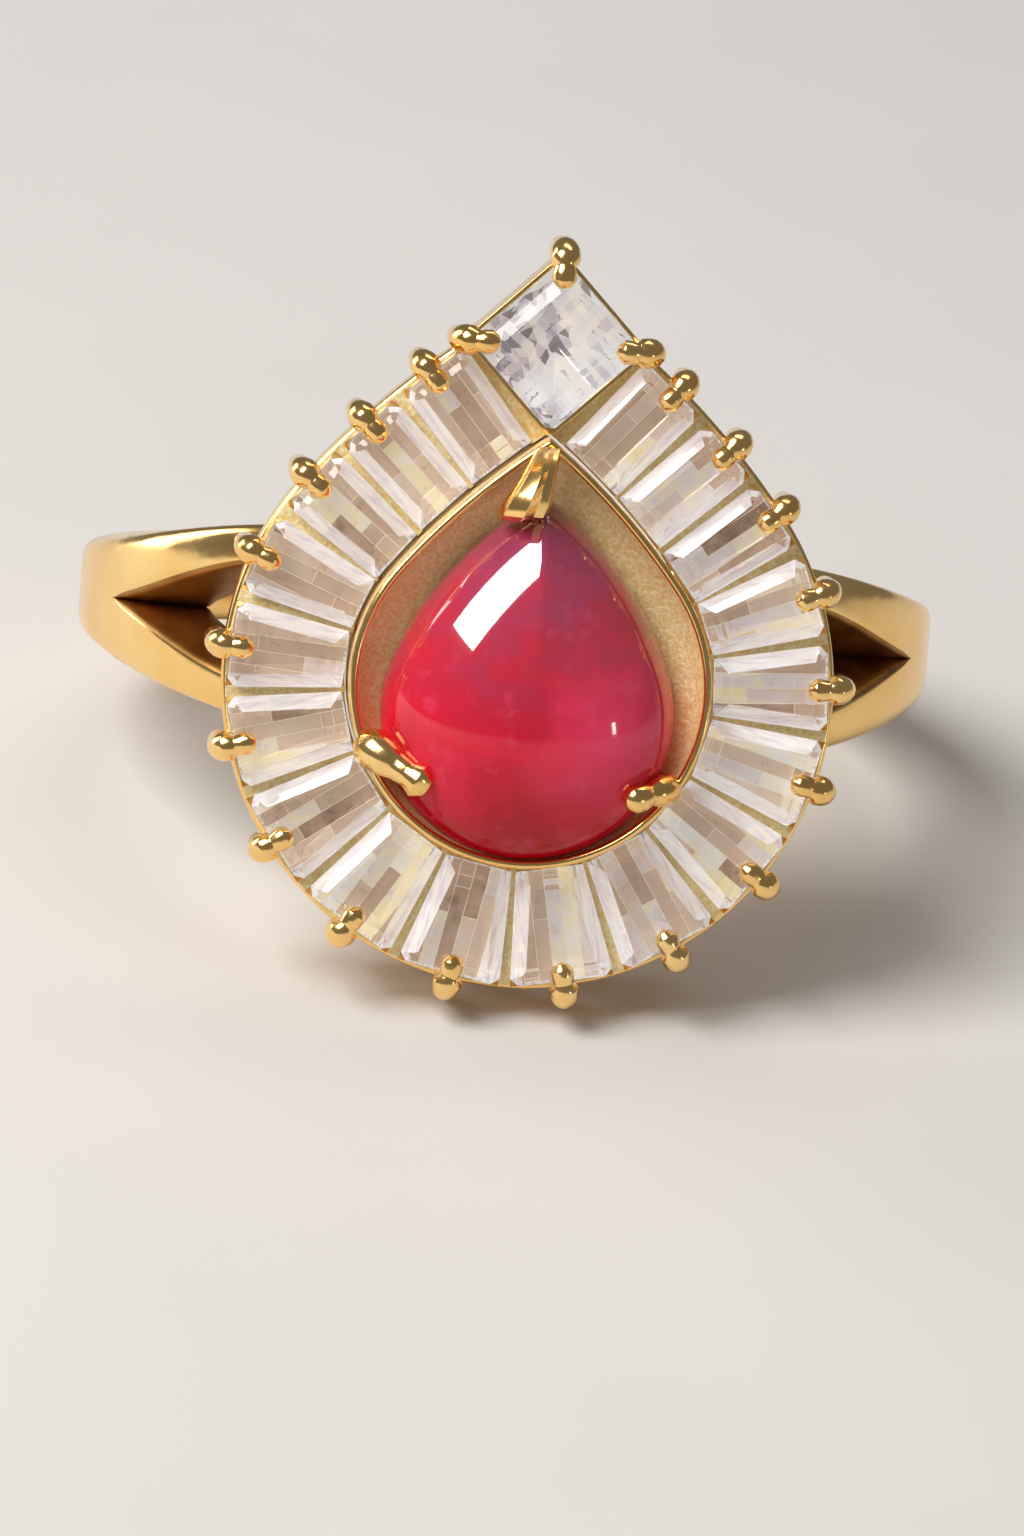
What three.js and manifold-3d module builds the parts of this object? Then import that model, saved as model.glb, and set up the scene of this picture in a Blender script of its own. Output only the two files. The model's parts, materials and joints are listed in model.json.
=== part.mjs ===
// Pear-shaped cluster cocktail ring: split shank, gallery, collet, claws and cut stones.
// Lengths are millimetres. The finished group rests on the plane z = 0 with its stones towards -Y.
// Every piece is drawn in the ring's own frame: the finger runs along Y and the stones face +Z.
import * as THREE from "three";
import { ConvexGeometry } from "three/addons/geometries/ConvexGeometry.js";
import { mergeVertices } from "three/addons/utils/BufferGeometryUtils.js";
import Module from "manifold-3d";

const wasm = await Module();
wasm.setup();

// ---- driving dimensions ----

const fit = 0.03; // clearance between any two seated pieces
const boreRadius = 9.05; // finger hole
const bandThick = 2.05;
const bandWide = 2.3; // width of the single band behind the finger
const forkWide = 5.1; // width over both arms at their ends
const flare = [-5, 62]; // degrees above the ring's middle between which the band widens to that
const armBack = 1.6; // width of one arm where the two part
const armWide = 0.95; // width of one arm at its end
const armThick = 1.5; // thickness of one arm at its end
const parting = [20, 52]; // degrees between which an arm narrows; the groove starts at the first
const armEnd = 59; // degrees above the ring's middle where the arms stop under the gallery
const grooveThrough = 31; // degrees, where the groove becomes an open gap
const grooveSlant = 0.25; // half the width the gap loses from its outer to its inner edge
const shankBoxy = 6; // how square the section is: flat faces with soft edges
const shankSides = 12;
const shankSteps = 56;
const grooveSteps = 14;

const headFoot = boreRadius + 1.05; // the underside of the collet; heights in the head start from it
const ringOffset = -0.75; // centre of the pear's round end, measured along the finger
const rubyRadius = 3.52;
const rubyReach = 1.83; // how much further the stone's point lies from that centre than its round end
const rubyHeight = rubyRadius + rubyReach;
const colletWide = 0.9; // from the stone's round end out to the collet's outer wall
const colletPoint = 0.75; // the same at the point
const pearRadius = rubyRadius + colletWide; // round end of the collet's outer wall
const pearHeight = rubyHeight + colletPoint; // from the centre of the round end to the point
const pointNormal = 54; // degrees, normal of the pear's side at its point
const roundSteps = 17;
const sideSteps = 4;

const rubyPointNormal = 57;
const rubyDrop = 0.65; // its round end sits this much lower than the collet's
const rubyMiddle = 0.6; // top of the dome above the centre of its round end
const rubyGirdle = headFoot + 1.9;
const rubyDome = 2.35;
const domeSteps = 8;
const rubyBase = [[0.12, 0.35], [0.4, 0.95]]; // [share of the way to the middle, drop below the girdle]

const colletTop = headFoot + 2.62;
const colletRim = 0.2; // width of the bright flat rim
const colletSlope = 1.25; // width of the concave wall inside the rim
const colletDeep = 0.85; // depth of the concave wall
const colletBore = 1.95; // inner edge, inside the outer wall

const pairCount = 9; // mirror pairs of tapered stones
const stoneLong = 2.8;
const stoneStart = 0.1; // inner end of each stone outside the collet
const stoneTable = headFoot + 2.1;
const crownHigh = 0.36;
const crownStep = 0.36; // width of the crown's sloping facets
const girdleHigh = 0.12;
const pavilionDeep = 0.72;
const slotBase = 2.28; // pitch of the widest stones, at the round end, beside that of the others
const slotTip = 1.8; // pitch of the narrow stones beside the point
const slotStop = 0.3; // metal left between the last pair of stones and the square stone
const slotSpare = slotStop + stoneLong / 2; // length at mid stone that the square stone takes up
const slotEven = 6; // stones from the round end to the first of the even, narrow ones
const slotGap = 0.2; // metal seen between neighbours

const seatTop = headFoot + 1.4;
const seatFoot = headFoot + 0.2;
const seatEdge = stoneStart + stoneLong + 0.3; // outer edge of the seat, outside the collet

const clawRadius = 0.31;
const clawOut = stoneStart + stoneLong + 0.44; // claw posts stand this far outside the collet
const clawWaist = 0.1; // how far the claw narrows between its two lobes
const clawBend = 0.6; // share of a claw's length at the lobe over its bend
const clawBead = 0.9; // and at the bead on its end
const clawFoot = 0.35; // above the underside of the collet
const clawSides = 8;
const clawSteps = 11;

const squareSide = 3.0;
const squareGap = 0.11; // from the collet's point to the stone's nearest corner
const squareCentre = ringOffset + pearHeight + squareGap + squareSide * Math.SQRT1_2;
const squareTable = headFoot + 2.4;
const squareCrown = 0.4;
const squarePavilion = 1.35;
const squareTableShare = 0.62; // table width over stone width
const squareWall = 0.22;
const squareSeatTop = headFoot + 1.9;

const galleryTop = [1.7, 2.5]; // inner and outer edge of the gallery's wall, outside the collet
const galleryBase = [1.0, 1.75];
const galleryLap = 0.36; // how far the gallery's foot lies below the arms' outer face
const armReach = boreRadius + armThick;
const galleryFoot = Math.sqrt(armReach ** 2 - (pearRadius + galleryBase[1]) ** 2) - galleryLap;
const galleryWindows = 10;
const windowWide = 2.6;
const windowHigh = 0.75;

// ---- metals and stones ----

const gold = { color: 0xe6b566, metalness: 1, roughness: 0.2 };
const castGold = { color: 0xcfa45f, metalness: 1, roughness: 0.5 };
const rubyRed = { color: 0xb81a3c, metalness: 0, roughness: 0.12 };
const clearStone = { color: 0xe4dcd6, metalness: 0, roughness: 0.08 };

const radians = Math.PI / 180;
const ring = new THREE.Group();
ring.name = "ring";

// ---- solids ----

function addPiece(name, geometry, look) {
  const mesh = new THREE.Mesh(geometry, new THREE.MeshStandardMaterial(look));
  mesh.name = name;
  ring.add(mesh);
}

function toManifold(geometry) {
  const bare = geometry.clone();
  bare.deleteAttribute("normal");
  bare.deleteAttribute("uv");
  const welded = mergeVertices(bare, 1e-4);
  return new wasm.Manifold(new wasm.Mesh({
    numProp: 3,
    vertProperties: new Float32Array(welded.attributes.position.array),
    triVerts: new Uint32Array(welded.index.array),
  }));
}

function toGeometry(manifold) {
  const mesh = manifold.getMesh();
  const geometry = new THREE.BufferGeometry();
  geometry.setAttribute("position", new THREE.BufferAttribute(mesh.vertProperties, 3));
  geometry.setIndex(new THREE.BufferAttribute(mesh.triVerts, 1));
  geometry.computeVertexNormals();
  return geometry;
}

// The same skin, welded, with its faces turned outwards.
function facingOut(geometry) {
  geometry.deleteAttribute("normal");
  geometry.deleteAttribute("uv");
  const welded = mergeVertices(geometry, 1e-5);
  const p = welded.attributes.position;
  const index = welded.index.array;
  const corners = [new THREE.Vector3(), new THREE.Vector3(), new THREE.Vector3()];
  let volume = 0;
  for (let i = 0; i < index.length; i += 3) {
    corners.forEach((corner, k) => corner.fromBufferAttribute(p, index[i + k]));
    volume += corners[0].dot(corners[1].clone().cross(corners[2]));
  }
  if (volume < 0) {
    for (let i = 0; i < index.length; i += 3) {
      [index[i + 1], index[i + 2]] = [index[i + 2], index[i + 1]];
    }
  }
  welded.computeVertexNormals();
  return welded;
}

function raised(outline, low, high) {
  const shape = new THREE.Shape(outline);
  const geometry = new THREE.ExtrudeGeometry(shape, { depth: high - low, bevelEnabled: false });
  geometry.translate(0, 0, low);
  return geometry;
}

// A bar whose section follows place(t): a centre, two directions across it and its half sizes.
// boxy is 2 for a round section and larger for a squarer one. A flare widens its high side.
function sweptBar(sides, steps, boxy, place) {
  const geometry = new THREE.CylinderGeometry(1, 1, 1, sides, steps);
  const position = geometry.attributes.position;
  const point = new THREE.Vector3();
  const halfStep = Math.PI / sides;
  for (let i = 0; i < position.count; i += 1) {
    point.fromBufferAttribute(position, i);
    const frame = place(point.y + 0.5);
    const onWall = Math.hypot(point.x, point.z) > 0.5 ? 1 : 0;
    const angle = Math.atan2(point.z, point.x) + halfStep;
    const cosine = Math.cos(angle);
    const sine = Math.sin(angle);
    const reach = onWall / (Math.abs(cosine) ** boxy + Math.abs(sine) ** boxy) ** (1 / boxy);
    point.copy(frame.centre);
    const flare = 1 + (frame.flare || 0) * reach * sine;
    point.addScaledVector(frame.wide, reach * cosine * frame.halfWide * flare);
    point.addScaledVector(frame.high, reach * sine * frame.halfHigh);
    position.setXYZ(i, point.x, point.y, point.z);
  }
  return facingOut(geometry);
}

// ---- the pear outline ----

// A pear is a round end of one radius joined smoothly to two long side arcs that meet at its point.
class Pear {
  constructor(radius, height, normalDegrees, centre) {
    const last = normalDegrees * radians;
    this.radius = radius;
    this.centre = centre;
    this.sideRadius = (height ** 2 - radius ** 2) / (2 * height * Math.sin(last) - 2 * radius);
    this.sideX = -this.sideRadius * Math.cos(last);
    this.sideY = height - this.sideRadius * Math.sin(last);
    this.join = Math.atan2(-this.sideY, -this.sideX);
  }

  // The point of the right-hand half whose outward normal has the given angle, moved out by an offset.
  at(normal, offset) {
    const onSide = normal > this.join;
    const reach = (onSide ? this.sideRadius : this.radius) + offset;
    const x = (onSide ? this.sideX : 0) + reach * Math.cos(normal);
    const y = (onSide ? this.sideY : 0) + reach * Math.sin(normal);
    return new THREE.Vector2(x, y + this.centre);
  }

  // The normal angle at a distance along an offset outline, counted from the foot of the round end.
  along(distance, offset) {
    const roundLength = (this.radius + offset) * (this.join + Math.PI / 2);
    if (distance < roundLength) {
      return -Math.PI / 2 + distance / (this.radius + offset);
    }
    return this.join + (distance - roundLength) / (this.sideRadius + offset);
  }

  // The normal angle at which an offset outline meets the pear's middle plane, at its point.
  end(offset) {
    return Math.acos(-this.sideX / (this.sideRadius + offset));
  }

  // The length of half an offset outline, from the foot of the round end to the point.
  halfLength(offset) {
    const roundLength = (this.radius + offset) * (this.join + Math.PI / 2);
    return roundLength + (this.end(offset) - this.join) * (this.sideRadius + offset);
  }

  outline(offset) {
    const points = [];
    const end = this.end(offset);
    for (let i = 0; i < roundSteps; i += 1) {
      points.push(this.at(-Math.PI / 2 + (this.join + Math.PI / 2) * (i / roundSteps), offset));
    }
    for (let i = 0; i <= sideSteps; i += 1) {
      points.push(this.at(this.join + (end - this.join) * (i / sideSteps), offset));
    }
    points[points.length - 1].x = 0;
    const left = points.slice(1, -1).reverse();
    return points.concat(left.map((p) => new THREE.Vector2(-p.x, p.y)));
  }
}

const pear = new Pear(pearRadius, pearHeight, pointNormal, ringOffset);
const rubyPear = new Pear(rubyRadius, rubyHeight, rubyPointNormal, ringOffset - rubyDrop);

// A pear-shaped ring. Its section is a closed list of [offset from the pear, height] corners.
function pearRing(section) {
  const around = pear.outline(0).length;
  const geometry = new THREE.PlaneGeometry(1, 1, around, section.length);
  const position = geometry.attributes.position;
  for (let row = 0; row <= section.length; row += 1) {
    const [offset, height] = section[row % section.length];
    const loop = pear.outline(offset);
    for (let i = 0; i <= around; i += 1) {
      const p = loop[i % around];
      position.setXYZ(row * (around + 1) + i, p.x, p.y, height);
    }
  }
  return facingOut(geometry);
}

// ---- centre stone ----

// A high cabochon over a shallow base, grown by the clearance of whatever seats it.
function cabochon(grow) {
  const points = [];
  const middle = new THREE.Vector2(0, ringOffset - rubyDrop + rubyMiddle);
  const girdle = rubyPear.outline(grow);
  const addLoop = (share, height) => girdle.forEach((p) => {
    const q = p.clone().lerp(middle, share);
    points.push(new THREE.Vector3(q.x, q.y, height));
  });
  for (let i = 0; i < domeSteps; i += 1) {
    const lift = (i / domeSteps) * (Math.PI / 2);
    addLoop(1 - Math.cos(lift), rubyGirdle + (rubyDome + grow) * Math.sin(lift));
  }
  points.push(new THREE.Vector3(middle.x, middle.y, rubyGirdle + rubyDome + grow));
  rubyBase.forEach(([share, drop]) => addLoop(share, rubyGirdle - drop - grow));
  return new ConvexGeometry(points);
}

const rubySeat = toManifold(cabochon(fit));
addPiece("ruby_cabochon", cabochon(0), rubyRed);

// ---- claws ----

// Two soft lobes, one over the bend and one on the end, and a rounded tip.
function lobed(radius) {
  return (t) => {
    const wave = t < clawBend ? 0 : Math.cos((2 * Math.PI * (t - clawBend)) / (clawBead - clawBend)) - 1;
    const past = Math.max(0, (t - clawBead) / (1 - clawBead));
    return radius * (1 + clawWaist * wave) * Math.sqrt(Math.max(0.04, 1 - past ** 2));
  };
}

// A wire claw that stands at a foot and bends over a stone. Its stations are
// [distance out, height above the underside of the collet].
function wireClaw(foot, out, stations, radius, grow) {
  const across = new THREE.Vector3(-out.y, out.x, 0);
  const curve = new THREE.CatmullRomCurve3(stations.map(([reach, height]) => (
    new THREE.Vector3(foot.x + out.x * reach, foot.y + out.y * reach, headFoot + height)
  )));
  const radiusAt = lobed(radius);
  return sweptBar(clawSides, clawSteps, 2, (t) => {
    const half = radiusAt(t) + grow;
    const high = new THREE.Vector3().crossVectors(curve.getTangent(t), across);
    return { centre: curve.getPoint(t), wide: across, high, halfWide: half, halfHigh: half };
  });
}

// ---- collet ----

function colletSection(grow) {
  const section = [[-colletBore, headFoot - grow], [grow, headFoot - grow]];
  section.push([grow, colletTop + grow]);
  const wallSteps = 6;
  for (let i = 0; i <= wallSteps; i += 1) {
    const turn = (i / wallSteps) * (Math.PI / 2);
    const inward = colletRim + colletSlope * (1 - Math.cos(turn));
    section.push([-inward, colletTop - colletDeep * Math.sin(turn)]);
  }
  section.push([-colletBore, colletTop - colletDeep]);
  return section;
}

// Claws of the centre stone: each is cut to the stone and seated in the collet.
const centreClaws = [];

// The left and right claws rise from the collet's rim and lie over the stone.
function fingerClaw(name, normalDegrees, turnDegrees, stations, radius) {
  const mirror = name.endsWith("left") ? -1 : 1;
  const foot = pear.at(normalDegrees * radians, 0);
  foot.x *= mirror;
  const lean = (normalDegrees + turnDegrees) * radians;
  const out = new THREE.Vector2(mirror * Math.cos(lean), Math.sin(lean));
  const body = (grow) => toManifold(wireClaw(foot, out, stations, radius, grow));
  centreClaws.push({ name, solid: body(0).subtract(rubySeat), seat: body(fit) });
}

const claspStations = [[-0.55, 1.1], [-0.53, 2.2], [-0.62, 2.65], [-1.1, 2.95], [-1.95, 3.15]];
fingerClaw("centre_claw_left", -20, 49, claspStations, 0.34);
const beadStations = [[-0.4, 1.1], [-0.38, 2.3], [-0.48, 2.75], [-0.85, 2.95], [-1.4, 3.05]];
fingerClaw("centre_claw_right", -28, 45, beadStations, 0.36);

// The hull of some corners, each moved off the middle of them all by the clearance of a seat.
function grownHull(corners, grow) {
  const points = corners.map((corner) => new THREE.Vector3(...corner));
  const middle = new THREE.Box3().setFromPoints(points).getCenter(new THREE.Vector3());
  points.forEach((point) => {
    const away = point.clone().sub(middle);
    const corner = new THREE.Vector3(Math.sign(away.x), Math.sign(away.y), Math.sign(away.z));
    point.add(corner.multiplyScalar(grow));
  });
  return toManifold(new ConvexGeometry(points));
}

// The claw at the point is a folded strip: a root in the collet and two leaves that meet along a ridge.
// Each corner is [x, distance back from the collet's point, height above its underside].
function foldedClaw(grow) {
  const pointY = pear.centre + pearHeight;
  const hull = (corners) => grownHull(corners.map(([x, back, height]) => (
    [x, pointY - back, headFoot + height]
  )), grow);
  const root = [[0, 0.35, 3.2], [0, 1.15, 3.45]];
  const leaf = (side) => [
    [0, 0.85, 2.3], [0, 0.85, 3.4], [side * 0.36, 0.9, 2.3], [side * 0.36, 0.9, 3.1],
    [side * 0.62, 1.75, 2.3], [side * 0.62, 1.75, 3.15], [side * 0.5, 2.05, 2.3],
    [side * 0.5, 2.05, 3.2], [0, 1.95, 3.6], [0, 1.95, 2.3],
  ];
  [-0.36, 0.36].forEach((x) => {
    root.push([x, 0.35, 1.3], [x, 0.35, 2.85], [x, 1.15, 1.3], [x, 1.15, 3.1]);
  });
  return hull(root).add(hull(leaf(1))).add(hull(leaf(-1)));
}
centreClaws.push({
  name: "centre_claw_point", solid: foldedClaw(0).subtract(rubySeat), seat: foldedClaw(fit),
});

let collet = toManifold(pearRing(colletSection(0))).subtract(rubySeat);
centreClaws.forEach(({ name, solid, seat }) => {
  collet = collet.subtract(seat);
  addPiece(name, toGeometry(solid), gold);
});
addPiece("collet", toGeometry(collet), castGold);

// ---- tapered stones ----

// The stones share the halo's middle line up to the square stone; their pitch eases from the wide
// ones to the narrow ones.
function slotPitch(i) {
  const ease = (1 + Math.cos(Math.PI * Math.min(i / slotEven, 1))) / 2;
  return slotTip + (slotBase - slotTip) * ease;
}

const haloMiddle = stoneStart + stoneLong / 2;
const slots = [];
let allPitches = 0;
for (let i = 0; i < pairCount; i += 1) {
  allPitches += slotPitch(i);
}
const slotScale = (pear.halfLength(haloMiddle) - slotSpare) / allPitches;
let slotEnd = 0;
for (let i = 0; i < pairCount; i += 1) {
  const half = (slotPitch(i) * slotScale) / 2;
  const from = pear.along(slotEnd, haloMiddle);
  const to = pear.along(slotEnd + 2 * half, haloMiddle);
  slots.push({ half, normal: pear.along(slotEnd + half, haloMiddle), fan: (to - from) / 2 });
  slotEnd += 2 * half;
}

// Half width of a slot at an offset: the sides of neighbouring slots share one radial line.
function slotHalf(slot, offset) {
  return slot.half + (offset - haloMiddle) * Math.tan(slot.fan);
}

// A step-cut stone: a table, sloping crown facets, a girdle and a keel below.
function baguette(slot, side, grow) {
  const out = new THREE.Vector2(side * Math.cos(slot.normal), Math.sin(slot.normal));
  const across = new THREE.Vector2(-out.y, out.x);
  const start = pear.at(slot.normal, 0);
  start.x *= side;
  const points = [];
  const inner = stoneStart - grow;
  const outer = stoneStart + stoneLong + grow;
  const girdle = stoneTable - crownHigh;
  const ledge = girdle - girdleHigh;
  const addPair = (offset, half, height) => [-1, 1].forEach((s) => {
    const x = start.x + out.x * offset + across.x * half * s;
    const y = start.y + out.y * offset + across.y * half * s;
    points.push(new THREE.Vector3(x, y, height));
  });
  [inner, outer].forEach((offset) => {
    const inwards = offset === inner ? 1 : -1;
    const half = slotHalf(slot, offset) - slotGap / 2 + grow;
    addPair(offset, half, girdle + grow);
    addPair(offset, half, ledge - grow);
    addPair(offset + inwards * crownStep, half - crownStep, stoneTable + grow);
    addPair(offset + inwards * crownStep * 2, half * 0.25, ledge - pavilionDeep - grow);
  });
  return new ConvexGeometry(points);
}

// ---- square stone and its seat ----

function squareOutline(halfSide) {
  const reach = halfSide * Math.SQRT2;
  return [[0, -reach], [reach, 0], [0, reach], [-reach, 0]].map(([x, y]) => (
    new THREE.Vector2(x, squareCentre + y)
  ));
}

function princess(grow) {
  const points = [];
  const half = squareSide / 2 + grow;
  const girdle = squareTable - squareCrown;
  const addSquare = (halfSide, height) => squareOutline(halfSide).forEach((p) => {
    points.push(new THREE.Vector3(p.x, p.y, height));
  });
  addSquare(half * squareTableShare, squareTable + grow);
  addSquare(half, girdle + grow);
  addSquare(half, girdle - girdleHigh - grow);
  points.push(new THREE.Vector3(0, squareCentre, girdle - girdleHigh - squarePavilion - grow));
  return new ConvexGeometry(points);
}
addPiece("princess_stone", princess(0), clearStone);

const squareStations = [
  [0.33, clawFoot], [0.33, 1.8], [0.3, 2.2], [0.05, 2.58], [-0.38, 2.72],
];
let squareSeat = toManifold(raised(squareOutline(squareSide / 2 + squareWall), seatFoot, squareSeatTop));
squareSeat = squareSeat.subtract(toManifold(princess(fit)));
squareSeat = squareSeat.subtract(toManifold(raised(pear.outline(2 * fit), seatFoot - 1, colletTop)));
const squareClawSeats = [["top", 0, 1], ["left", -1, 0], ["right", 1, 0]].map(([place, x, y]) => {
  const out = new THREE.Vector2(x, y);
  const corner = out.clone().multiplyScalar(squareSide * Math.SQRT1_2);
  corner.y += squareCentre;
  const claw = toManifold(wireClaw(corner, out, squareStations, clawRadius, 0));
  addPiece(`princess_claw_${place}`, toGeometry(claw.subtract(toManifold(princess(fit)))), gold);
  return toManifold(wireClaw(corner, out, squareStations, clawRadius, fit));
});
squareClawSeats.forEach((clawSeat) => {
  squareSeat = squareSeat.subtract(clawSeat);
});
addPiece("princess_seat", toGeometry(squareSeat), gold);

// ---- halo: seat, stones and claws ----

const haloStations = [
  [0, clawFoot], [0, 1.65], [-0.04, 2.05], [-0.3, 2.36], [-0.66, 2.42],
];
let seat = toManifold(pearRing([
  [2 * fit, seatFoot], [seatEdge - 0.35, seatFoot], [seatEdge, seatFoot + 0.3],
  [seatEdge, seatTop - 0.1], [seatEdge - 0.1, seatTop], [2 * fit, seatTop],
]));
const squareCut = raised(squareOutline(squareSide / 2 + squareWall + fit), seatFoot - 1, colletTop);
seat = seat.subtract(toManifold(squareCut));
squareClawSeats.forEach((clawSeat) => {
  seat = seat.subtract(clawSeat);
});
slots.forEach((slot, i) => {
  const number = pairCount - i;
  [["left", -1], ["right", 1]].forEach(([place, side]) => {
    const out = new THREE.Vector2(side * Math.cos(slot.normal), Math.sin(slot.normal));
    const foot = pear.at(slot.normal, clawOut);
    foot.x *= side;
    seat = seat.subtract(toManifold(baguette(slot, side, fit)));
    seat = seat.subtract(toManifold(wireClaw(foot, out, haloStations, clawRadius, fit)));
    addPiece(`baguette_${place}_${number}`, baguette(slot, side, 0), clearStone);
    addPiece(`halo_claw_${place}_${number}`, wireClaw(foot, out, haloStations, clawRadius, 0), gold);
  });
});
addPiece("halo_seat", toGeometry(seat), gold);

// ---- gallery ----

const bore = new THREE.CylinderGeometry(boreRadius, boreRadius, 60, 96);
const galleryRoof = seatFoot - fit;
let gallery = toManifold(pearRing([
  [galleryBase[0], galleryFoot], [galleryBase[1], galleryFoot],
  [galleryTop[1], galleryRoof], [galleryTop[0], galleryRoof],
]));
gallery = gallery.subtract(toManifold(bore));
const galleryMiddle = (galleryTop[1] + galleryBase[1]) / 2;
const galleryLength = (pear.radius + galleryMiddle) * (pear.join + Math.PI / 2) + 4;
for (let i = 0; i < galleryWindows / 2; i += 1) {
  const normal = pear.along((galleryLength * (i + 0.5)) / (galleryWindows / 2), galleryMiddle);
  const centre = pear.at(normal, galleryMiddle);
  [-1, 1].forEach((side) => {
    const window = new THREE.CylinderGeometry(windowHigh / 2, windowHigh / 2, 4, 14);
    window.scale(windowWide / windowHigh, 1, 1);
    window.rotateZ(side * (normal - Math.PI / 2));
    window.translate(side * centre.x, centre.y, (seatFoot + boreRadius) / 2);
    gallery = gallery.subtract(toManifold(window));
  });
}
addPiece("gallery", toGeometry(gallery), gold);

// ---- shank ----

function eased(degrees, [from, to]) {
  const share = Math.min(1, Math.max(0, (degrees - from) / (to - from)));
  return share * share * (3 - 2 * share);
}

// The band at an angle above the ring's middle: its thickness, half its width over both arms, and
// half the gap between them in its outer face, which is less than nothing before they part.
function bandShape(degrees) {
  const widening = eased(degrees, flare);
  const half = (bandWide + (forkWide - bandWide) * widening) / 2;
  const arm = armBack + (armWide - armBack) * eased(degrees, parting);
  return { thick: bandThick + (armThick - bandThick) * widening, half, gap: half - arm };
}

// Both arms and the band behind the finger, before the gaps between the arms are cut.
function wholeBand() {
  return sweptBar(shankSides, shankSteps, shankBoxy, (t) => {
    const turn = (2 * t - 1) * (90 + armEnd);
    const shape = bandShape(Math.abs(turn) - 90);
    const out = new THREE.Vector3(Math.sin(turn * radians), 0, -Math.cos(turn * radians));
    return {
      centre: out.clone().multiplyScalar(boreRadius + shape.thick / 2),
      wide: new THREE.Vector3(0, 1, 0),
      high: out,
      halfWide: shape.half,
      halfHigh: shape.thick / 2,
    };
  });
}

// The gap between two arms starts as a groove in the outer face and deepens until it is open.
function armGap(side) {
  const start = parting[0];
  return sweptBar(shankSides, grooveSteps, shankBoxy, (t) => {
    const degrees = start + t * (armEnd + 4 - start);
    const shape = bandShape(degrees);
    const deep = Math.min(1, (degrees - start) / (grooveThrough - start));
    const top = boreRadius + bandThick + 0.5;
    const bottom = boreRadius + shape.thick - deep * (shape.thick + 0.5);
    const half = Math.max(0.1, shape.gap - grooveSlant);
    const out = new THREE.Vector3(side * Math.cos(degrees * radians), 0, Math.sin(degrees * radians));
    return {
      centre: out.clone().multiplyScalar((top + bottom) / 2),
      wide: new THREE.Vector3(0, 1, 0),
      high: out,
      halfWide: half,
      halfHigh: (top - bottom) / 2,
      flare: Math.min(0.8, grooveSlant / half),
    };
  });
}

let shank = toManifold(wholeBand());
shank = shank.subtract(toManifold(armGap(1))).subtract(toManifold(armGap(-1)));
shank = shank.subtract(toManifold(pearRing([
  [galleryBase[0] - 2, galleryFoot - fit], [galleryBase[1] + 2 * fit, galleryFoot - fit],
  [galleryTop[1] + 2 * fit, galleryRoof], [galleryTop[0] - 2, galleryRoof],
])));
addPiece("shank", toGeometry(shank), gold);

// ---- resting pose ----

// The ring leans back on its lowest claws and on the lower edge of the band behind the finger:
// the lean at which the shank and the head reach equally low.
function lowest(meshes, angle) {
  let low = Infinity;
  meshes.forEach((mesh) => {
    const p = mesh.geometry.attributes.position;
    for (let i = 0; i < p.count; i += 1) {
      low = Math.min(low, p.getY(i) * Math.cos(angle) + p.getZ(i) * Math.sin(angle));
    }
  });
  return low;
}
const shankMeshes = ring.children.filter((mesh) => mesh.name === "shank");
const headMeshes = ring.children.filter((mesh) => mesh.name !== "shank");
let lean = 0;
let step = 45 * radians;
while (step > 1e-6) {
  lean += lowest(shankMeshes, lean) > lowest(headMeshes, lean) ? step : -step;
  step /= 2;
}
ring.rotation.x = Math.PI / 2 - lean;
ring.updateMatrixWorld(true);
const box = new THREE.Box3().setFromObject(ring, true);
ring.position.set(-(box.min.x + box.max.x) / 2, -(box.min.y + box.max.y) / 2, -box.min.z);

const group = new THREE.Group();
group.add(ring);
group.updateMatrixWorld(true);

export default group;
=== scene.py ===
import json
import math
import bpy
from mathutils import Matrix, Vector


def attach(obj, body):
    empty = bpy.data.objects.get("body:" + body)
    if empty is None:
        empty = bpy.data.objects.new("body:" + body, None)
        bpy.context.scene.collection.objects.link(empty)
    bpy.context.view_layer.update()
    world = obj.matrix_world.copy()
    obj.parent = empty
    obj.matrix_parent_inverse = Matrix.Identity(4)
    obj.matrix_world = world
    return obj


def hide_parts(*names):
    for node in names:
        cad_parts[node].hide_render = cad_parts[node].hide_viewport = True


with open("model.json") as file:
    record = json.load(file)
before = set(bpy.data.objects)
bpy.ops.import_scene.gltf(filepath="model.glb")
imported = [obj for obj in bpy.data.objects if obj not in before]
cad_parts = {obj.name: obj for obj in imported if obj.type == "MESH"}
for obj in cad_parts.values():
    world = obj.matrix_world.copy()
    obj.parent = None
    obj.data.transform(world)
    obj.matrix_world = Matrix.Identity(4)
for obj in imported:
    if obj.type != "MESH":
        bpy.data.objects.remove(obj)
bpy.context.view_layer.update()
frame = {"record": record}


# ---- shank ----
# The finger band, cast in yellow gold and polished bright: one broad band behind the finger that parts
# on each side into two arms, which are soldered under the head. Drawn in millimetres, like every
# piece, with Y towards the pear's point and the stones facing +Z, then set in the frame by its bore.

BORE_RADIUS = 9.05
BAND_THICK = 1.94
BAND_WIDE = 2.3
FORK_WIDE = 5.1
FLARE = (-5, 62)  # [from, to] in degrees past the bore's widest place, as PARTING and ARM_END are
ARM_BACK = 1.6
ARM_WIDE = 0.95
ARM_THICK = 1.5
PARTING = (20, 52)
ARM_END = 59
ARM_SLANT = 0.25
ARM_ROUNDING = 0.16
BAND_SQUARENESS = 6
BAND_STEPS = 260
FACE_STEPS = 40  # round the outer faces of one arm
WALL_STEPS = 10  # down its inner wall
# The second finish is dark brown gold: painted shade on the arms' inner walls.
SHADED_INNER_FINISH = 1  # the shank's second finish

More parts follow.
